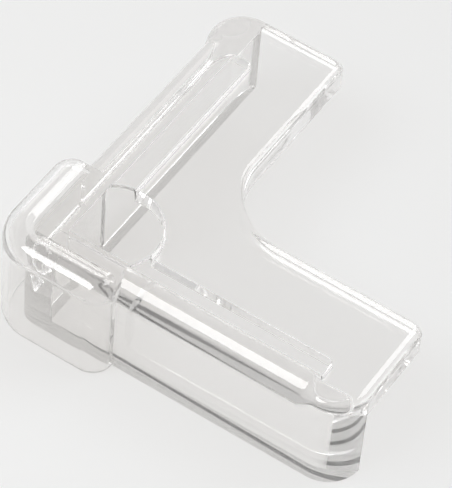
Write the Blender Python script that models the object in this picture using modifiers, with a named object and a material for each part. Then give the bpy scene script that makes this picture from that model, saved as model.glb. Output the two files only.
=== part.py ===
"""Clear corner guard for furniture, moulded in one piece.

Two arms in an L lie on the top of the furniture and hang down its two sides as skirts. A hollow
bumper with a low ridge on top is wrapped round the outer corner and is open at its foot. Under the
top a channel beside each skirt keeps clear of the furniture's edges, and the two meet in a deeper
round pocket at the furniture's corner.

Plans are drawn with the arms' outer faces on the X and Y axes and their flat top at height 0, and
they are symmetric about the diagonal.
"""

import math

import bmesh
import bpy

# Arms. Lengths and widths are measured from the arms' outer faces, in metres.
ARM_LENGTH = 0.0554
ARM_WIDTH = 0.0203
TOP_THICKNESS = 0.0045
SKIRT_THICKNESS = 0.0053
HEIGHT = 0.0176
OUTER_END_RADIUS = 0.0056
INNER_END_RADIUS = 0.0019
INNER_CORNER_RADIUS = 0.0104

# Rounding of the top edge: wide on the outer side, running out to the end's own rounding where the
# end's corner begins, and small on the inner side.
WIDE_ROUND = 0.0040
END_ROUND = 0.0016
INNER_ROUND = 0.0013
RUN_OUT_LENGTH = 0.0029

# Bumper round the outer corner, with the ridge that runs along its top.
BUMPER_REACH = 0.0034
BUMPER_LENGTH = 0.0172
RIDGE_HEIGHT = 0.00085
RIDGE_ROUND = 0.0030
RIDGE_WIDTH = 0.00445
SLOPE_WIDTH = 0.00175
SHELF_HEIGHT = 0.00012
SHELL_THICKNESS = 0.0010
HOLLOW_WIDTH = 0.0044

# Channels beside the skirts and round pocket at the corner, in the underside of the top.
CHANNEL_DEPTH = 0.0021
CHANNEL_WIDTH = 0.0032
CHANNEL_END_MARGIN = 0.0077
CHANNEL_END_RADIUS = 0.0008
POCKET_OFFSET = 0.0044
POCKET_RADIUS = 0.0076
POCKET_DEPTH = 0.0030

# A rounding stays a little smaller than the plan radius it runs round.
LARGEST_ROUND_SHARE = 0.95
# How far a cutter, or a block that is cut off below, runs past the face that it makes.
OVERSHOOT = 0.0020
MERGE_DISTANCE = 0.000001
# Faces that bend less than this are one flat face.
FLAT_ANGLE = math.radians(1.0)

# Straight pieces along each curve.
ROUND_STEPS = 6
CORNER_STEPS = 8
END_STEPS = 8
RUN_OUT_STEPS = 4
SLOPE_STEPS = 6

PLASTIC_COLOUR = (0.90, 0.93, 0.93, 1.0)
PLASTIC_ROUGHNESS = 0.06


def shares(steps):
    """Even steps from 0 to 1."""
    return [i / steps for i in range(steps + 1)]


def eased(share):
    """A smooth step from 0 to 1."""
    return share * share * (3.0 - 2.0 * share)


def arc(centre, radius, start, end, steps):
    """Points of an arc in plan, from one angle in degrees to another."""
    angles = [math.radians(start + (end - start) * share) for share in shares(steps)]
    return [(centre[0] + radius * math.cos(a), centre[1] + radius * math.sin(a)) for a in angles]


def mirrored(half):
    """Closes a plan from its half on the +X side, which starts and ends on the diagonal."""
    return half + [(y, x) for x, y in half[-2:0:-1]]


def arm_half(inset):
    """Half of the arms' plan, as points with the rounding of the top edge, drawn inset by a share of it."""

    def stretch(centre, radius, start, end, steps, rounding, side=1.0):
        points = []
        for share in shares(steps):
            edge = rounding(share)
            angle = start + (end - start) * share
            points.append((arc(centre, radius - side * inset * edge, angle, angle, 1)[0], edge))
        return points

    corner = stretch((WIDE_ROUND, WIDE_ROUND), WIDE_ROUND, 225, 270, CORNER_STEPS // 2, lambda t: WIDE_ROUND)
    run_out_start = ARM_LENGTH - OUTER_END_RADIUS - RUN_OUT_LENGTH
    run_out = []
    for share in shares(RUN_OUT_STEPS)[:-1]:
        edge = WIDE_ROUND + eased(share) * (END_ROUND - WIDE_ROUND)
        run_out.append(((run_out_start + share * RUN_OUT_LENGTH, inset * edge), edge))
    centre = (ARM_LENGTH - OUTER_END_RADIUS, OUTER_END_RADIUS)
    outer_end = stretch(centre, OUTER_END_RADIUS, 270, 360, END_STEPS, lambda t: END_ROUND)
    centre = (ARM_LENGTH - INNER_END_RADIUS, ARM_WIDTH - INNER_END_RADIUS)
    inner_end = stretch(
        centre, INNER_END_RADIUS, 0, 90, END_STEPS, lambda t: END_ROUND + eased(t) * (INNER_ROUND - END_ROUND)
    )
    bend = ARM_WIDTH + INNER_CORNER_RADIUS
    inner_corner = stretch((bend, bend), INNER_CORNER_RADIUS, 270, 225, CORNER_STEPS, lambda t: INNER_ROUND, -1.0)
    return corner + run_out + outer_end + inner_end + inner_corner


def bumper_plan(inset, inner):
    """Plan of the bumper, or of its hollow when drawn inset, from the outer face in to a distance."""
    corner_radius = WIDE_ROUND + BUMPER_REACH - inset
    corner = arc((WIDE_ROUND, WIDE_ROUND), corner_radius, 225, 270, CORNER_STEPS // 2)
    end = arc((BUMPER_LENGTH - BUMPER_REACH, 0.0), BUMPER_REACH - inset, 270, 360, END_STEPS)
    return mirrored(corner + end + [(BUMPER_LENGTH - inset, inner), (inner, inner)])


def channel_plan():
    """Plan of the two channels, which meet at the corner."""
    wall = SKIRT_THICKNESS + CHANNEL_WIDTH
    end = ARM_LENGTH - CHANNEL_END_MARGIN
    end_centre = (end - CHANNEL_END_RADIUS, wall - CHANNEL_END_RADIUS)
    end_corner = arc(end_centre, CHANNEL_END_RADIUS, 0, 90, ROUND_STEPS)
    outer = [(SKIRT_THICKNESS, SKIRT_THICKNESS), (end, SKIRT_THICKNESS)]
    return mirrored(outer + end_corner + [(wall, wall)])


def pocket_plan():
    """Circle round the furniture's corner, cut off at the two skirts."""
    centre = SKIRT_THICKNESS + POCKET_OFFSET
    drop = min(1.0, POCKET_OFFSET / POCKET_RADIUS)
    bow = arc((centre, centre), POCKET_RADIUS, -math.degrees(math.asin(drop)), 45, CORNER_STEPS)
    return mirrored([(SKIRT_THICKNESS, SKIRT_THICKNESS)] + bow)


def slope_section(inward, level):
    """Section at one level of the room above the ridge's slope, whose edge is so far in from the outer faces."""
    far = BUMPER_LENGTH + OVERSHOOT
    bow = arc((WIDE_ROUND, WIDE_ROUND), WIDE_ROUND - inward, 225, 270, CORNER_STEPS // 2)
    return [(x, y, level) for x, y in mirrored(bow + [(far, inward), (far, far)])]


def place(made, corner, collection):
    """Hangs an object under the outer corner and links it to a collection."""
    made.parent = corner
    collection.objects.link(made)
    return made


def extruded(name, plan, low, high, corner, collection):
    """A plan drawn as a 2D curve and extruded between two levels, then made a mesh."""
    curve = bpy.data.curves.new(name, "CURVE")
    curve.dimensions = "2D"
    curve.fill_mode = "BOTH"
    curve.extrude = (high - low) / 2
    spline = curve.splines.new("POLY")
    spline.points.add(len(plan) - 1)
    for point, (x, y) in zip(spline.points, plan):
        point.co = (x, y, 0.0, 1.0)
    spline.use_cyclic_u = True
    drawn = place(bpy.data.objects.new(name, curve), corner, collection)
    data = bpy.data.meshes.new_from_object(drawn.evaluated_get(bpy.context.evaluated_depsgraph_get()))
    bpy.data.objects.remove(drawn, do_unlink=True)
    mesh = bmesh.new()
    mesh.from_mesh(data)
    bmesh.ops.remove_doubles(mesh, verts=mesh.verts, dist=MERGE_DISTANCE)
    bmesh.ops.translate(mesh, vec=(0.0, 0.0, (low + high) / 2), verts=mesh.verts)
    bmesh.ops.recalc_face_normals(mesh, faces=mesh.faces)
    bmesh.ops.dissolve_limit(mesh, angle_limit=FLAT_ANGLE, verts=mesh.verts, edges=mesh.edges)
    mesh.to_mesh(data)
    mesh.free()
    return place(bpy.data.objects.new(name, data), corner, collection)


def lofted(name, sections, corner, collection):
    """A closed block through unlike sections, from the top one to the lowest."""
    mesh = bmesh.new()
    loops = [[mesh.verts.new(point) for point in section] for section in sections]
    for upper, lower in zip(loops, loops[1:]):
        for i, vertex in enumerate(upper):
            after = (i + 1) % len(upper)
            mesh.faces.new((lower[i], lower[after], upper[after], vertex))
    mesh.faces.new(loops[0])
    mesh.faces.new(loops[-1][::-1])
    bmesh.ops.remove_doubles(mesh, verts=mesh.verts, dist=MERGE_DISTANCE)
    bmesh.ops.recalc_face_normals(mesh, faces=mesh.faces)
    data = bpy.data.meshes.new(name)
    mesh.to_mesh(data)
    mesh.free()
    return place(bpy.data.objects.new(name, data), corner, collection)


def build_arms(corner, collection):
    """Arms and skirts as one block. It is a loft, as the top edge's rounding changes along the plan."""
    sections = []
    for share in shares(ROUND_STEPS):
        angle = share * math.pi / 2
        half = arm_half(1.0 - math.sin(angle))
        plan = mirrored([point for point, _ in half])
        edges = mirrored([(edge, edge) for _, edge in half])
        drop = 1.0 - math.cos(angle)
        sections.append([(x, y, -edge * drop) for (x, y), (edge, _) in zip(plan, edges)])
    sections.append([(x, y, -HEIGHT - OVERSHOOT) for x, y, _ in sections[-1]])
    return lofted("corner_guard", sections, corner, collection)


def box_cutter(name, low, high, corner, collection):
    """A box between two corners, made from a cube."""
    mesh = bmesh.new()
    bmesh.ops.create_cube(mesh, size=1.0)
    bmesh.ops.scale(mesh, vec=[b - a for a, b in zip(low, high)], verts=mesh.verts)
    bmesh.ops.translate(mesh, vec=[(a + b) / 2 for a, b in zip(low, high)], verts=mesh.verts)
    data = bpy.data.meshes.new(name)
    mesh.to_mesh(data)
    mesh.free()
    return place(bpy.data.objects.new(name, data), corner, collection)


def add_rounding(target, level, inner, width):
    """Rounds the rim of an extruded block at a level, apart from its two straight inner sides."""
    weights = target.data.attributes.new("bevel_weight_edge", "FLOAT", "EDGE")
    for edge in target.data.edges:
        ends = [target.data.vertices[i].co for i in edge.vertices]
        on_rim = all(abs(end.z - level) < MERGE_DISTANCE for end in ends)
        outer = any(min(end.x, end.y) < inner - MERGE_DISTANCE for end in ends)
        weights.data[edge.index].value = float(on_rim and outer)
    change = target.modifiers.new("rounding", "BEVEL")
    change.limit_method = "WEIGHT"
    change.width = width
    change.segments = ROUND_STEPS
    change.use_clamp_overlap = False


def add_boolean(target, other, operation):
    """Joins another object to the target, cuts it away, or keeps what they share."""
    change = target.modifiers.new(other.name, "BOOLEAN")
    change.operation = operation
    change.solver = "EXACT"
    change.object = other


def build_slope_cutter(corner, cutters):
    """The room above the ridge's inner slope and the shelf. It is a loft, as its corner sharpens downwards."""
    inward = RIDGE_WIDTH - BUMPER_REACH
    fall = RIDGE_HEIGHT - SHELF_HEIGHT
    sections = [slope_section(inward, RIDGE_HEIGHT + OVERSHOOT)]
    for share in shares(SLOPE_STEPS):
        sections.append(slope_section(inward + share * SLOPE_WIDTH, RIDGE_HEIGHT - eased(share) * fall))
    return lofted("slope_cutter", sections, corner, cutters)


def build_bumper(corner, cutters):
    """Shell of the bumper: a rounded block, less the room behind its ridge and less its hollow."""
    foot = -HEIGHT - 2 * OVERSHOOT
    rounding = min(RIDGE_ROUND, LARGEST_ROUND_SHARE * BUMPER_REACH)
    bumper = extruded("bumper", bumper_plan(0.0, WIDE_ROUND), foot, RIDGE_HEIGHT, corner, cutters)
    add_rounding(bumper, RIDGE_HEIGHT, WIDE_ROUND, rounding)
    add_boolean(bumper, build_slope_cutter(corner, cutters), "DIFFERENCE")
    inner = SHELL_THICKNESS + HOLLOW_WIDTH - BUMPER_REACH
    ceiling = RIDGE_HEIGHT - SHELL_THICKNESS
    plan = bumper_plan(SHELL_THICKNESS, inner)
    hollow = extruded("hollow", plan, foot - 2 * OVERSHOOT, ceiling, corner, cutters)
    add_rounding(hollow, ceiling, inner, rounding - SHELL_THICKNESS)
    add_boolean(bumper, hollow, "DIFFERENCE")
    return bumper


def build_cutters(corner, cutters):
    """What is taken out of the joined body: the furniture's place, the channels, the pocket and the foot."""
    far = ARM_LENGTH + OVERSHOOT
    side = SKIRT_THICKNESS
    low = -HEIGHT - 3 * OVERSHOOT
    underside = -TOP_THICKNESS
    furniture = box_cutter("furniture_place", (side, side, low), (far, far, underside), corner, cutters)
    below = underside - OVERSHOOT
    channels = extruded("channels", channel_plan(), below, underside + CHANNEL_DEPTH, corner, cutters)
    pocket = extruded("pocket", pocket_plan(), below, underside + POCKET_DEPTH, corner, cutters)
    near = -BUMPER_REACH - OVERSHOOT
    foot = box_cutter("foot_trim", (near, near, low - OVERSHOOT), (far, far, -HEIGHT), corner, cutters)
    return [furniture, channels, pocket, foot]


def clear_plastic():
    """Colourless glossy plastic."""
    material = bpy.data.materials.new("clear_plastic")
    material.use_nodes = True
    shader = material.node_tree.nodes["Principled BSDF"]
    shader.inputs["Base Color"].default_value = PLASTIC_COLOUR
    shader.inputs["Roughness"].default_value = PLASTIC_ROUGHNESS
    shader.inputs["Metallic"].default_value = 0.0
    shader.inputs["Transmission Weight"].default_value = 1.0
    return material


def new_collection(name):
    """A collection in the scene."""
    made = bpy.data.collections.new(name)
    bpy.context.scene.collection.children.link(made)
    return made


def main():
    for old in list(bpy.data.objects):
        bpy.data.objects.remove(old, do_unlink=True)
    parts = new_collection("corner_guard")
    cutters = new_collection("cutters")

    # The empty stands where the arms' outer faces and their flat top would meet. The origin is
    # below the middle of the guard's plan, at the level of its foot.
    corner = bpy.data.objects.new("outer_corner", None)
    middle = (ARM_LENGTH - BUMPER_REACH) / 2
    corner.location = (-middle, -middle, HEIGHT)
    parts.objects.link(corner)

    guard = build_arms(corner, parts)
    add_boolean(guard, build_bumper(corner, cutters), "UNION")
    for cutter in build_cutters(corner, cutters):
        add_boolean(guard, cutter, "DIFFERENCE")
    for helper in cutters.objects:
        helper.hide_render = True
        helper.display_type = "WIRE"
    guard.data.materials.append(clear_plastic())
    guard.data.shade_smooth()
    guard.data.set_sharp_from_angle(angle=math.radians(30))


main()
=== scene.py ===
"""Clear corner guard: its fine surface, its finish, the studio and the camera.

The guard is moulded in one piece. Plans are drawn with the arms' outer faces on the X and Y axes
and their flat top at height 0, and they are symmetric about the diagonal. The finished mesh is
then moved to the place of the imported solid.
"""

import math

import bmesh
import bpy
import numpy as np
from bpy.props import FloatProperty, FloatVectorProperty, PointerProperty
from mathutils import Matrix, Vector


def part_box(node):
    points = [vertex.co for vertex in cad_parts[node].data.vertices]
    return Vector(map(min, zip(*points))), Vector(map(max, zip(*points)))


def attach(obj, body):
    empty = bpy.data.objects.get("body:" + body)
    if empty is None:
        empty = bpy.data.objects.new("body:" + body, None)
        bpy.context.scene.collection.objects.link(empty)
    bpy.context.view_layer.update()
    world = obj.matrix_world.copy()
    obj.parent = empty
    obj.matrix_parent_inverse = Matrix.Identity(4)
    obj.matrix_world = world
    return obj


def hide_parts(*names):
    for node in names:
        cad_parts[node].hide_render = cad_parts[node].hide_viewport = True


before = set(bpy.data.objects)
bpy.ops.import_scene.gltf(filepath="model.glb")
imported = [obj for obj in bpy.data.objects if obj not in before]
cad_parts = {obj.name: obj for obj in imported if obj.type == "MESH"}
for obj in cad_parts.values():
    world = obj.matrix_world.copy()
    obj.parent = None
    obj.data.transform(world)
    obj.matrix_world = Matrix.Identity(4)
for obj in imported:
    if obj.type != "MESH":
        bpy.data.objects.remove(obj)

bl_info = {
    "name": "Clear corner guard",
    "version": (1, 0, 0),
    "blender": (4, 5, 0),
    "location": "View3D > Sidebar > Guard",
    "description": "Builds a clear moulded corner guard and a studio round it",
    "category": "Object",
}

NODE = "corner_guard"
LOW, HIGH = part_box(NODE)
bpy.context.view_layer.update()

# How far a cutter, or a block that is cut off below, runs past the face that it makes.
OVERSHOOT = 0.0020
MERGE_DISTANCE = 0.000001
SHARP_ANGLE = math.radians(28.0)
# Edges sharper than this are rounded, apart from those this close to the foot or to the flat top.
BREAK_ANGLE = math.radians(50.0)
UNROUNDED_FOOT = 0.0010
UNROUNDED_TOP = 0.0008
# Share of the ridge's slope that each of its two creases takes up.
CREASE = 0.2

# How often light may turn inside the clear plastic before it is lost.
BOUNCES = 20

# Into how many parts each curve is drawn.
CORNER_STEPS = 14
RUN_OUT_STEPS = 12
END_STEPS = 20
INNER_STEPS = 16
CHANNEL_STEPS = 8
POCKET_STEPS = 32
ROUND_STEPS = 12
FOOT_STEPS = 5
SLOPE_STEPS = 15
BREAK_SEGMENTS = 2

# Noise scales, per metre, of the uneven polish and of the ripples that moulding leaves.
SMUDGE_SCALE = 90.0
SMUDGE_DETAIL = 4.0
RIPPLE_SCALE = 110.0

FLOOR_ROUGHNESS = 0.9
# Width in millimetres of the film that the focal length is given for.
FILM_WIDTH = 36.0
CLIP_START = 0.01
# A light this nearly overhead takes its upward side from +Y instead of +Z.
OVERHEAD = 0.99


def length(name, description, default):
    """A size in metres that a user can change."""
    return FloatProperty(
        name=name, description=description, default=default, min=0.0, unit="LENGTH", precision=5
    )


def watts(name, description, default):
    """The power of a light."""
    return FloatProperty(
        name=name, description=description, default=default, min=0.0, unit="POWER"
    )


def turn(name, description, degrees):
    """An angle, whose default is given in degrees."""
    return FloatProperty(
        name=name, description=description, default=math.radians(degrees), subtype="ANGLE"
    )


def factor(name, description, default):
    """A number from nought to one."""
    return FloatProperty(
        name=name, description=description, default=default, min=0.0, max=1.0, subtype="FACTOR"
    )


def point(name, description, default):
    """A point in metres."""
    return FloatVectorProperty(
        name=name, description=description, default=default, size=3, subtype="TRANSLATION"
    )


def sides(name, description, default):
    """The two sides of a rectangle in metres."""
    return FloatVectorProperty(
        name=name, description=description, default=default, size=2, min=0.0, unit="LENGTH"
    )


def colour(name, description, default):
    """A colour, without alpha."""
    return FloatVectorProperty(
        name=name, description=description, default=default,
        size=3, min=0.0, max=1.0, subtype="COLOR",
    )


class GuardSizes(bpy.types.PropertyGroup):
    """Sizes of the guard, measured from the arms' outer faces and from their flat top."""

    bumper_reach: length("Bumper reach", "How far the bumper stands out from the arms", 0.0034)
    bumper_length: length("Bumper length", "How far the bumper runs along each arm", 0.0172)
    arm_width: length("Arm width", "Width of each arm's flat top", 0.0203)
    top_thickness: length("Top thickness", "Thickness of the arms' flat top", 0.0045)
    skirt_thickness: length("Skirt thickness", "Thickness of the two skirts", 0.0053)
    outer_end: length("Outer end corner", "Radius in plan of an arm's outer end corner", 0.0056)
    inner_end: length("Inner end corner", "Radius in plan of an arm's inner end corner", 0.0019)
    inner_corner: length("Inner corner", "Radius in plan of the bend between the arms", 0.0104)
    wide_round: length("Wide rounding", "Rounding of the outer top edge", 0.0040)
    end_round: length("End rounding", "Rounding of the top edge at an arm's end", 0.0016)
    inner_round: length("Inner rounding", "Rounding of the inner top edge", 0.0013)
    run_out: length("Run-out", "Length over which the wide rounding narrows", 0.0029)
    foot_round: length("Foot rounding", "Rounding of the foot's outer edge", 0.0005)
    ridge_height: length("Ridge height", "Height of the bumper's ridge above the flat top", 0.00085)
    ridge_round: length("Ridge rounding", "Rounding of the bumper's outer top edge", 0.0030)
    ridge_width: length("Ridge width", "Width of the bumper's top out to its inner slope", 0.00315)
    slope_width: length("Slope width", "Width of the ridge's inner slope", 0.00130)
    shelf_height: length("Shelf height", "Height of the shelf behind the slope", 0.00012)
    shell: length("Shell", "Wall of the bumper", 0.0010)
    hollow_width: length("Hollow width", "Width of the room inside the bumper", 0.0044)
    channel_depth: length("Channel depth", "Depth of the channels in the underside", 0.0021)
    channel_width: length("Channel width", "Width of the channel beside each skirt", 0.0032)
    channel_end: length("Channel end margin", "From a channel's far end to the arm's end", 0.0077)
    channel_corner: length("Channel corner", "Radius in plan of a channel's far corner", 0.0008)
    pocket_offset: length("Pocket offset", "From the skirts' inside to the pocket's centre", 0.0044)
    pocket_radius: length("Pocket radius", "Radius of the round pocket at the corner", 0.0076)
    pocket_depth: length("Pocket depth", "Depth of the pocket in the underside", 0.0030)
    edge_break: length("Edge break", "Rounding of the moulded edges below the top", 0.0002)


class GuardFinish(bpy.types.PropertyGroup):
    """Look of the clear plastic."""

    tint: colour("Tint", "Colour that each pass through the surface leaves", (0.955, 0.95, 0.945))
    refraction: FloatProperty(
        name="Refraction", description="Index of refraction", default=1.5, min=1.0
    )
    roughness: factor("Roughness", "Least roughness of the surface", 0.01)
    roughness_spread: factor("Roughness spread", "How much rougher the dullest places are", 0.04)
    ripple: length("Ripple", "Depth of the faint ripples that moulding leaves", 0.000003)
    shadow: colour("Shadow", "Light that each surface lets through", (0.95, 0.945, 0.94))


class StudioSettings(bpy.types.PropertyGroup):
    """Camera, floor and light."""

    azimuth: turn("Azimuth", "Direction of the camera's view, turned from +Y towards -X", 29.27)
    elevation: turn("Elevation", "Height of the camera above the horizon", 50.58)
    roll: turn("Roll", "Turn of the camera about its own axis", 5.55)
    distance: length("Distance", "From the camera to the point that it looks at", 0.4767)
    focal_length: FloatProperty(
        name="Focal length", description="Focal length in millimetres on a 36 mm film",
        default=249.0, min=1.0,
    )
    target: point("Target", "Point that the camera looks at", (-0.00248, -0.00776, 0.01417))
    floor_colour: colour("Floor colour", "Colour of the plain floor", (0.92, 0.92, 0.915))
    floor_size: length("Floor size", "Side of the square floor", 6.0)
    floor_near: length("Lit floor", "How far out the floor shows only the light it gets", 0.10)
    floor_far: length("Pale floor", "Distance beyond which the floor is seen as evenly pale", 0.60)
    key_power: watts("Key power", "Power of the soft light above the front arm", 4.2)
    key_place: point("Key place", "Middle of the light above the front arm", (-0.233, -0.36, 0.615))
    key_size: sides("Key size", "Length and height of the light above the front arm", (0.48, 0.38))
    rim_power: watts("Rim power", "Power of the soft light past the arms' ends", 2.0)
    rim_place: point("Rim place", "Middle of the light past the arms' ends", (0.252, 0.371, 0.539))
    rim_size: sides("Rim size", "Length and height of the light past the arms' ends", (0.44, 0.28))
    side_power: watts("Side power", "Power of the low soft light beside the far arm", 0.15)
    side_place: point("Side place", "Middle of the light beside the far arm", (-0.49, 0.385, 0.26))
    side_size: sides("Side size", "Length and height of the light beside the far arm", (0.20, 0.20))
    room: FloatProperty(
        name="Room", description="Brightness of the room that lights the stage",
        default=0.06, min=0.0,
    )
    ceiling: FloatProperty(
        name="Ceiling", description="Brightness of the room overhead, as it shows in the plastic",
        default=0.62, min=0.0,
    )


class Shade:
    """A shader value. Arithmetic on it adds Math nodes to its material."""

    def __init__(self, builder, socket):
        self.builder = builder
        self.socket = socket

    def _math(self, operation, first, second):
        return self.builder.add("ShaderNodeMath", {"operation": operation}, {0: first, 1: second})

    def __add__(self, other):
        return self._math("ADD", self, other)

    def __radd__(self, other):
        return self._math("ADD", other, self)

    def __mul__(self, other):
        return self._math("MULTIPLY", self, other)

    def __rmul__(self, other):
        return self._math("MULTIPLY", other, self)


class NodeBuilder:
    """Adds nodes to one node tree."""

    def __init__(self, tree):
        self.tree = tree
        tree.nodes.clear()

    def add(self, kind, settings=None, sockets=None, output=0):
        """Adds a node, sets it, fills its sockets with values or links, and returns one output."""
        node = self.tree.nodes.new(kind)
        for name, value in (settings or {}).items():
            setattr(node, name, value)
        for name, value in (sockets or {}).items():
            if isinstance(value, Shade):
                self.tree.links.new(value.socket, node.inputs[name])
            else:
                node.inputs[name].default_value = value
        return Shade(self, node.outputs[output]) if node.outputs else node


def bend(centre, radius, start, end, steps, edge, side=1.0):
    """An arc of an outline as rows of x, y, inward x, inward y and edge rounding.

    The point at angle a is the centre plus the radius times (cos a, sin a). Inward is towards the
    centre, or away from it where side is -1.
    """
    angle = np.radians(np.linspace(start, end, steps + 1))
    across, along = np.cos(angle), np.sin(angle)
    x, y = centre[0] + radius * across, centre[1] + radius * along
    edges = np.broadcast_to(edge, angle.shape)
    return np.stack([x, y, -side * across, -side * along, edges], axis=1)


def row(x, y, across, along, edge=0.0):
    """One point of an outline, as bend gives them."""
    return np.array([[x, y, across, along, edge]])


def mirrored(half):
    """Closes an outline from its half on the +X side: the other half swaps x and y, in reverse."""
    return np.concatenate([half, half[::-1][1:-1][:, [1, 0, 3, 2, 4]]])


def eased(share):
    """A smooth step: three times the square less twice the cube."""
    return share * share * (3.0 - 2.0 * share)


def straight_step(share):
    """A step with a straight middle, and a short parabola at each end that keeps it crisp."""
    first = np.minimum(share, CREASE) ** 2 / (2.0 * CREASE)
    middle = np.clip(share - CREASE, 0.0, 1.0 - 2.0 * CREASE)
    left = CREASE - np.clip(share - 1.0 + CREASE, 0.0, CREASE)
    last = CREASE / 2.0 - left**2 / (2.0 * CREASE)
    return (first + middle + last) / (1.0 - CREASE)


def arm_outline(s):
    """Plan of the two arms, with the rounding of the top edge at each point."""
    arm = arm_length(s)
    corner = bend((s.wide_round, s.wide_round), s.wide_round, 225, 270, CORNER_STEPS, s.wide_round)
    share = np.linspace(0.0, 1.0, RUN_OUT_STEPS + 1)[:-1]
    run_out = np.zeros((len(share), 5))
    run_out[:, 0] = arm - s.outer_end - s.run_out + share * s.run_out
    run_out[:, 3] = 1.0
    run_out[:, 4] = s.wide_round + eased(share) * (s.end_round - s.wide_round)
    outer = (arm - s.outer_end, s.outer_end)
    outer_end = bend(outer, s.outer_end, 270, 360, END_STEPS, s.end_round)
    share = np.linspace(0.0, 1.0, INNER_STEPS + 1)
    narrowing = s.end_round + eased(share) * (s.inner_round - s.end_round)
    inner = (arm - s.inner_end, s.arm_width - s.inner_end)
    inner_end = bend(inner, s.inner_end, 0, 90, INNER_STEPS, narrowing)
    centre = s.arm_width + s.inner_corner
    inner_corner = bend(
        (centre, centre), s.inner_corner, 270, 225, INNER_STEPS, s.inner_round, -1.0
    )
    return mirrored(np.concatenate([corner, run_out, outer_end, inner_end, inner_corner]))


def bumper_outline(s, inset, inner, edge):
    """Plan of the bumper, or of its hollow when drawn inset. Its two inner sides aren't rounded."""
    reach = s.bumper_reach - inset
    corner = bend(
        (s.wide_round, s.wide_round), s.wide_round + s.bumper_reach - inset,
        225, 270, CORNER_STEPS, edge,
    )
    end = bend((s.bumper_length - s.bumper_reach, 0.0), reach, 270, 360, END_STEPS, edge)
    back = row(s.bumper_length - inset, inner, -1.0, 0.0, edge)
    tip = row(inner, inner, 0.0, 0.0, edge)
    return mirrored(np.concatenate([corner, end, back, tip]))


def channel_outline(s):
    """Plan of the channels beside the two skirts, which meet at the corner."""
    side = s.skirt_thickness
    wall, end = side + s.channel_width, arm_length(s) - s.channel_end
    centre = (end - s.channel_corner, wall - s.channel_corner)
    end_corner = bend(centre, s.channel_corner, 0, 90, CHANNEL_STEPS, 0.0)
    start = [row(side, side, 0.0, 0.0), row(end, side, 0.0, 0.0)]
    return mirrored(np.concatenate(start + [end_corner, row(wall, wall, 0.0, 0.0)]))


def pocket_outline(s):
    """Circle round the furniture's corner, cut off at the two skirts."""
    side, centre = s.skirt_thickness, s.skirt_thickness + s.pocket_offset
    start = -math.degrees(math.asin(min(1.0, s.pocket_offset / s.pocket_radius)))
    bow = bend((centre, centre), s.pocket_radius, start, 45, POCKET_STEPS, 0.0)
    return mirrored(np.concatenate([row(side, side, 0.0, 0.0), bow]))


def arm_length(s):
    """Length of an arm from the outer face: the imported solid's side less the bumper's reach."""
    return HIGH.x - LOW.x - s.bumper_reach


def height(s):
    """Height of the flat top above the foot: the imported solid's height less the ridge's."""
    return HIGH.z - LOW.z - s.ridge_height


def rounded_sections(outline, top, bottom, foot_round=0.0):
    """Sections of a prism whose top edge is rounded, as an array of levels by points by 3.

    At angle a down the rounding of size r, a point moves inwards by r times (1 - sin a) and down
    from the top by r times (1 - cos a). The foot's edge is rounded the same way, the other way up.
    """
    place, inward, edge = outline[None, :, 0:2], outline[None, :, 2:4], outline[None, :, 4:5]
    angle = np.linspace(0.0, math.pi / 2, ROUND_STEPS + 1)[:, None, None]
    upper = np.concatenate(
        [place + inward * edge * (1.0 - np.sin(angle)), top - edge * (1.0 - np.cos(angle))], axis=2
    )
    if foot_round == 0.0:
        lower = np.concatenate([place, np.full_like(edge, bottom)], axis=2)
        return np.concatenate([upper, lower])
    angle = np.linspace(0.0, math.pi / 2, FOOT_STEPS + 1)[:, None, None]
    level = bottom + foot_round * (1.0 - np.sin(angle))
    level = np.broadcast_to(level, (FOOT_STEPS + 1, outline.shape[0], 1))
    lower = np.concatenate([place + inward * foot_round * (1.0 - np.cos(angle)), level], axis=2)
    return np.concatenate([upper, lower])


def slope_sections(s):
    """Sections of the room above the ridge's inner slope and the shelf.

    At share t of the slope its edge is t of the slope's width further in, and it has come down by
    the straight step of t times the fall from the ridge to the shelf. Its corner's radius shrinks
    by as much as the edge moves in.
    """
    far = s.bumper_length + OVERSHOOT
    start = s.ridge_width - s.bumper_reach
    share = np.linspace(0.0, 1.0, SLOPE_STEPS + 1)
    edges = np.concatenate([[start], start + share * s.slope_width])
    falls = s.ridge_height - straight_step(share) * (s.ridge_height - s.shelf_height)
    levels = np.concatenate([[s.ridge_height + OVERSHOOT], falls])
    sections = []
    for edge, level in zip(edges, levels):
        centre, radius = (s.wide_round, s.wide_round), s.wide_round - edge
        bow = bend(centre, radius, 225, 270, CORNER_STEPS, 0.0)
        plan = mirrored(np.concatenate([bow, row(far, edge, 0.0, 0.0), row(far, far, 0.0, 0.0)]))
        sections.append(np.column_stack([plan[:, 0:2], np.full(len(plan), level)]))
    return np.array(sections)


def box_sections(low, high):
    """The two ends of a box, as sections."""
    plan = [(low[0], low[1]), (high[0], low[1]), (high[0], high[1]), (low[0], high[1])]
    return np.array([[(x, y, level) for x, y in plan] for level in (high[2], low[2])])


def merge(mesh):
    """Joins points that fall together and turns every face outwards."""
    tidy = bmesh.new()
    tidy.from_mesh(mesh)
    bmesh.ops.remove_doubles(tidy, verts=tidy.verts, dist=MERGE_DISTANCE)
    bmesh.ops.recalc_face_normals(tidy, faces=tidy.faces)
    tidy.to_mesh(mesh)
    tidy.free()


def block(name, sections):
    """A closed block through sections, from the top one to the lowest.

    Quads join each point to the same point of the next section, and a face closes each end.
    """
    levels, around = sections.shape[0:2]
    index = np.arange(levels * around).reshape(levels, around)
    after = np.roll(index, -1, axis=1)
    quads = np.stack([index[1:], after[1:], after[:-1], index[:-1]], axis=-1).reshape(-1, 4)
    faces = quads.tolist() + [index[0].tolist(), index[-1][::-1].tolist()]
    mesh = bpy.data.meshes.new(name)
    mesh.from_pydata(sections.reshape(-1, 3).tolist(), [], faces)
    merge(mesh)
    made = bpy.data.objects.new(name, mesh)
    bpy.context.scene.collection.objects.link(made)
    return made


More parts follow.
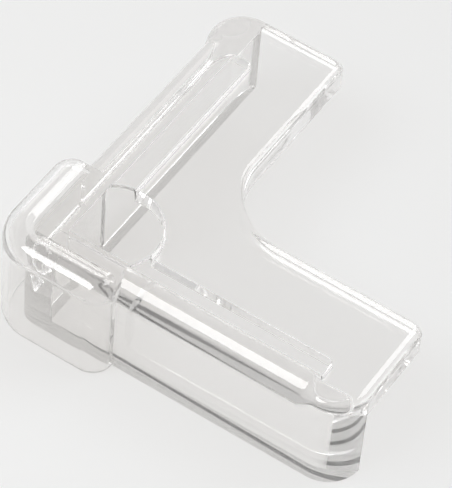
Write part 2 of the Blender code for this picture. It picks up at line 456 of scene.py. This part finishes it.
def combined(base, steps):
    """Applies Booleans to the base in order, and removes the helpers."""
    for operation, other in steps:
        change = base.modifiers.new(other.name, "BOOLEAN")
        change.operation = operation
        change.solver = "EXACT"
        change.object = other
    graph = bpy.context.evaluated_depsgraph_get()
    mesh = bpy.data.meshes.new_from_object(base.evaluated_get(graph))
    merge(mesh)
    base.modifiers.clear()
    base.data = mesh
    for _, other in steps:
        bpy.data.objects.remove(other, do_unlink=True)
    return base


def mark_edges(mesh, side, low, high):
    """Marks for rounding each sharp edge that lies within the two skirts and between two levels.

    In a closed mesh each edge belongs to two faces, and the edge is sharp where the dot product of
    their normals is below the cosine of the angle.
    """
    edge_of_loop = np.empty(len(mesh.loops), dtype=int)
    mesh.loops.foreach_get("edge_index", edge_of_loop)
    corners = np.empty(len(mesh.polygons), dtype=int)
    mesh.polygons.foreach_get("loop_total", corners)
    normals = np.empty(3 * len(mesh.polygons))
    mesh.polygons.foreach_get("normal", normals)
    ends = np.empty(2 * len(mesh.edges), dtype=int)
    mesh.edges.foreach_get("vertices", ends)
    points = np.empty(3 * len(mesh.vertices))
    mesh.vertices.foreach_get("co", points)
    face_of_loop = np.repeat(np.arange(len(corners)), corners)
    faces = face_of_loop[np.argsort(edge_of_loop, kind="stable")].reshape(-1, 2)
    normals = normals.reshape(-1, 3)
    sharp = np.sum(normals[faces[:, 0]] * normals[faces[:, 1]], axis=1) < math.cos(BREAK_ANGLE)
    middle = points.reshape(-1, 3)[ends.reshape(-1, 2)].mean(axis=1)
    within = middle[:, 0:2].min(axis=1) > side - MERGE_DISTANCE
    marked = sharp & within & (middle[:, 2] > low) & (middle[:, 2] < high)
    weights = mesh.attributes.new("bevel_weight_edge", "FLOAT", "EDGE")
    weights.data.foreach_set("value", marked.astype(float))


def build_guard(s):
    """The guard's closed surface, in the plans' own place."""
    foot = -height(s)
    far = arm_length(s) + OVERSHOOT
    under = foot - OVERSHOOT
    outside = bumper_outline(s, 0.0, s.wide_round, s.ridge_round)
    bumper = block("bumper", rounded_sections(outside, s.ridge_height, foot, s.foot_round))
    slope = block("slope", slope_sections(s))
    inner = s.shell + s.hollow_width - s.bumper_reach
    inside = bumper_outline(s, s.shell, inner, s.ridge_round - s.shell)
    hollow = block("hollow", rounded_sections(inside, s.ridge_height - s.shell, under))
    bumper = combined(bumper, [("DIFFERENCE", slope), ("DIFFERENCE", hollow)])
    guard = block("clear_guard", rounded_sections(arm_outline(s), 0.0, foot, s.foot_round))
    side, underside = s.skirt_thickness, -s.top_thickness
    furniture = block("furniture", box_sections((side, side, under), (far, far, underside)))
    below = underside - OVERSHOOT
    channel_top, pocket_top = underside + s.channel_depth, underside + s.pocket_depth
    channels = block("channels", rounded_sections(channel_outline(s), channel_top, below))
    pocket = block("pocket", rounded_sections(pocket_outline(s), pocket_top, below))
    cuts = [("DIFFERENCE", cutter) for cutter in (furniture, channels, pocket)]
    return combined(guard, [("UNION", bumper)] + cuts)


def clear_plastic(look):
    """Colourless glossy plastic, with faint ripples and a slightly uneven polish."""
    material = bpy.data.materials.new("clear_plastic")
    material.use_nodes = True
    nodes = NodeBuilder(material.node_tree)
    place = nodes.add("ShaderNodeTexCoord", output="Object")
    smudge = nodes.add("ShaderNodeTexNoise", {}, {
        "Vector": place, "Scale": SMUDGE_SCALE, "Detail": SMUDGE_DETAIL,
    })
    ripple = nodes.add("ShaderNodeTexNoise", {}, {
        "Vector": place, "Scale": RIPPLE_SCALE, "Detail": 0.0,
    })
    bump = nodes.add("ShaderNodeBump", {}, {
        "Height": ripple, "Distance": look.ripple, "Strength": 1.0,
    })
    surface = nodes.add("ShaderNodeBsdfPrincipled", {}, {
        "Base Color": (*look.tint, 1.0),
        "Roughness": smudge * look.roughness_spread + look.roughness,
        "Normal": bump,
        "IOR": look.refraction,
        "Transmission Weight": 1.0,
    })
    # Rays that only light the floor pass straight through, so that light isn't counted twice.
    clear = nodes.add("ShaderNodeBsdfTransparent", {}, {"Color": (*look.shadow, 1.0)})
    lighting = nodes.add("ShaderNodeLightPath", output="Is Shadow Ray")
    lighting += nodes.add("ShaderNodeLightPath", output="Is Diffuse Ray")
    mixed = nodes.add("ShaderNodeMixShader", {}, {0: lighting, 1: surface, 2: clear})
    nodes.add("ShaderNodeOutputMaterial", {}, {"Surface": mixed})
    return material


class GUARD_OT_body(bpy.types.Operator):
    """Builds the moulded guard"""

    bl_idname = "guard.body"
    bl_label = "Build the guard"

    def execute(self, context):
        s = context.scene.guard_sizes
        guard = build_guard(s)
        mesh = guard.data
        mark_edges(mesh, s.skirt_thickness, UNROUNDED_FOOT - height(s), -UNROUNDED_TOP)
        move = Matrix.Translation((HIGH.x - arm_length(s), HIGH.y - arm_length(s), height(s)))
        mesh.transform(move)
        mesh.shade_smooth()
        mesh.set_sharp_from_angle(angle=SHARP_ANGLE)
        mesh.materials.clear()
        mesh.materials.append(clear_plastic(context.scene.guard_finish))
        edges = guard.modifiers.new("moulded edges", "BEVEL")
        edges.width = s.edge_break
        edges.segments = BREAK_SEGMENTS
        edges.limit_method = "WEIGHT"
        edges.use_clamp_overlap = False
        normals = guard.modifiers.new("flat faces stay flat", "WEIGHTED_NORMAL")
        normals.keep_sharp = True
        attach(guard, "root")
        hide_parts(NODE)
        return {"FINISHED"}


def in_sight(nodes):
    """One on rays by which something is seen, straight or in the plastic, and nought on others."""
    seen = nodes.add("ShaderNodeLightPath", output="Is Camera Ray")
    seen += nodes.add("ShaderNodeLightPath", output="Is Glossy Ray")
    seen += nodes.add("ShaderNodeLightPath", output="Is Transmission Ray")
    return seen


def floor_surface(tone, near, far):
    """A matt surface of one colour, seen beyond the lights' reach as pale as near the object."""
    material = bpy.data.materials.new("floor")
    material.use_nodes = True
    nodes = NodeBuilder(material.node_tree)
    surface = nodes.add("ShaderNodeBsdfPrincipled", {}, {
        "Base Color": (*tone, 1.0), "Roughness": FLOOR_ROUGHNESS,
    })
    pale = nodes.add("ShaderNodeEmission", {}, {"Color": (*tone, 1.0), "Strength": 1.0})
    place = nodes.add("ShaderNodeTexCoord", output="Object")
    distance = nodes.add("ShaderNodeVectorMath", {"operation": "LENGTH"}, {0: place}, "Value")
    beyond = nodes.add(
        "ShaderNodeMapRange", {"interpolation_type": "SMOOTHSTEP"},
        {"Value": distance, "From Min": near, "From Max": far},
    )
    share = in_sight(nodes) * beyond
    mixed = nodes.add("ShaderNodeMixShader", {}, {0: share, 1: surface, 2: pale})
    nodes.add("ShaderNodeOutputMaterial", {}, {"Surface": mixed})
    return material


def room_light(brightness, ceiling):
    """A plain room, seen as white at the horizon and dimmer overhead, whatever light it gives."""
    world = bpy.data.worlds.new("studio")
    world.use_nodes = True
    nodes = NodeBuilder(world.node_tree)

    def background(strength):
        return nodes.add("ShaderNodeBackground", {}, {
            "Color": (1.0, 1.0, 1.0, 1.0), "Strength": strength,
        })

    direction = nodes.add("ShaderNodeTexCoord", output="Generated")
    upwards = nodes.add("ShaderNodeSeparateXYZ", {}, {0: direction}, "Z")
    shown = nodes.add("ShaderNodeMixShader", {}, {
        0: upwards, 1: background(1.0), 2: background(ceiling),
    })
    mixed = nodes.add("ShaderNodeMixShader", {}, {
        0: in_sight(nodes), 1: background(brightness), 2: shown,
    })
    nodes.add("ShaderNodeOutputWorld", {}, {"Surface": mixed})
    return world


def soft_light(name, place, size, power):
    """A level, rectangular area light at a place, facing the middle of the floor."""
    lamp = bpy.data.lights.new(name, "AREA")
    lamp.shape = "RECTANGLE"
    lamp.size, lamp.size_y = size
    lamp.energy = power
    light = bpy.data.objects.new(name, lamp)
    bpy.context.scene.collection.objects.link(light)
    light.location = place
    light.rotation_euler = direction_turn(-np.array(place)).to_euler()


def direction_turn(direction):
    """The turn that points an object's -Z axis along a direction, with its Y axis upwards."""
    back = -direction / np.linalg.norm(direction)
    upwards = (0.0, 1.0, 0.0) if abs(back[2]) > OVERHEAD else (0.0, 0.0, 1.0)
    right = np.cross(upwards, back)
    right /= np.linalg.norm(right)
    up = np.cross(back, right)
    return Matrix((right, up, back)).transposed()


def view_turn(azimuth, elevation, roll):
    """The camera's turn, whose columns point to its right, upwards and back from what it sees.

    Back is (sin a cos e, -cos a cos e, sin e), where a is the azimuth and e the elevation. Right
    starts level and up is back times right. Both then turn about back by the roll.
    """
    back = np.array([
        math.sin(azimuth) * math.cos(elevation),
        -math.cos(azimuth) * math.cos(elevation),
        math.sin(elevation),
    ])
    level = np.array([math.cos(azimuth), math.sin(azimuth), 0.0])
    rise = np.cross(back, level)
    right = math.cos(roll) * level + math.sin(roll) * rise
    up = math.cos(roll) * rise - math.sin(roll) * level
    return Matrix((right, up, back)).transposed()


def plain_floor(studio):
    """The square floor at the level of the guard's foot."""
    half = studio.floor_size / 2
    corners = [(-half, -half, 0), (half, -half, 0), (half, half, 0), (-half, half, 0)]
    mesh = bpy.data.meshes.new("floor")
    mesh.from_pydata(corners, [], [(0, 1, 2, 3)])
    mesh.materials.append(floor_surface(studio.floor_colour, studio.floor_near, studio.floor_far))
    floor = bpy.data.objects.new("floor", mesh)
    bpy.context.scene.collection.objects.link(floor)
    return floor


class GUARD_OT_stage(bpy.types.Operator):
    """Sets the floor, the lights, the surroundings and the camera"""

    bl_idname = "guard.stage"
    bl_label = "Set the stage"

    def execute(self, context):
        studio = context.scene.guard_studio
        plain_floor(studio)
        soft_light("key_light", studio.key_place, studio.key_size, studio.key_power)
        soft_light("rim_light", studio.rim_place, studio.rim_size, studio.rim_power)
        soft_light("side_light", studio.side_place, studio.side_size, studio.side_power)
        context.scene.world = room_light(studio.room, studio.ceiling)
        context.scene.view_settings.view_transform = "Standard"
        context.scene.cycles.max_bounces = BOUNCES
        context.scene.cycles.glossy_bounces = BOUNCES
        context.scene.cycles.transmission_bounces = BOUNCES

        camera = bpy.data.cameras.new("camera")
        camera.lens = studio.focal_length
        camera.sensor_width = FILM_WIDTH
        camera.clip_start = CLIP_START
        viewer = bpy.data.objects.new("camera", camera)
        context.scene.collection.objects.link(viewer)
        stand = view_turn(studio.azimuth, studio.elevation, studio.roll)
        back = stand.col[2]
        centre = Matrix.Translation(studio.target + back * studio.distance)
        viewer.matrix_world = centre @ stand.to_4x4()
        context.scene.camera = viewer
        return {"FINISHED"}


class GUARD_PT_panel(bpy.types.Panel):
    """Lists the guard's sizes, finish and studio"""

    bl_idname = "GUARD_PT_panel"
    bl_label = "Clear corner guard"
    bl_space_type = "VIEW_3D"
    bl_region_type = "UI"
    bl_category = "Guard"

    def draw(self, context):
        for operator in (GUARD_OT_body, GUARD_OT_stage):
            self.layout.operator(operator.bl_idname)
        for name in ("guard_sizes", "guard_finish", "guard_studio"):
            group = getattr(context.scene, name)
            box = self.layout.box()
            for field in group.__annotations__:
                box.prop(group, field)


CLASSES = (GuardSizes, GuardFinish, StudioSettings, GUARD_OT_body, GUARD_OT_stage, GUARD_PT_panel)


def register():
    for cls in CLASSES:
        bpy.utils.register_class(cls)
    bpy.types.Scene.guard_sizes = PointerProperty(type=GuardSizes)
    bpy.types.Scene.guard_finish = PointerProperty(type=GuardFinish)
    bpy.types.Scene.guard_studio = PointerProperty(type=StudioSettings)


def unregister():
    for name in ("guard_sizes", "guard_finish", "guard_studio"):
        delattr(bpy.types.Scene, name)
    for cls in reversed(CLASSES):
        bpy.utils.unregister_class(cls)


def main():
    register()
    bpy.ops.guard.body()
    bpy.ops.guard.stage()


if __name__ == "__main__":
    main()
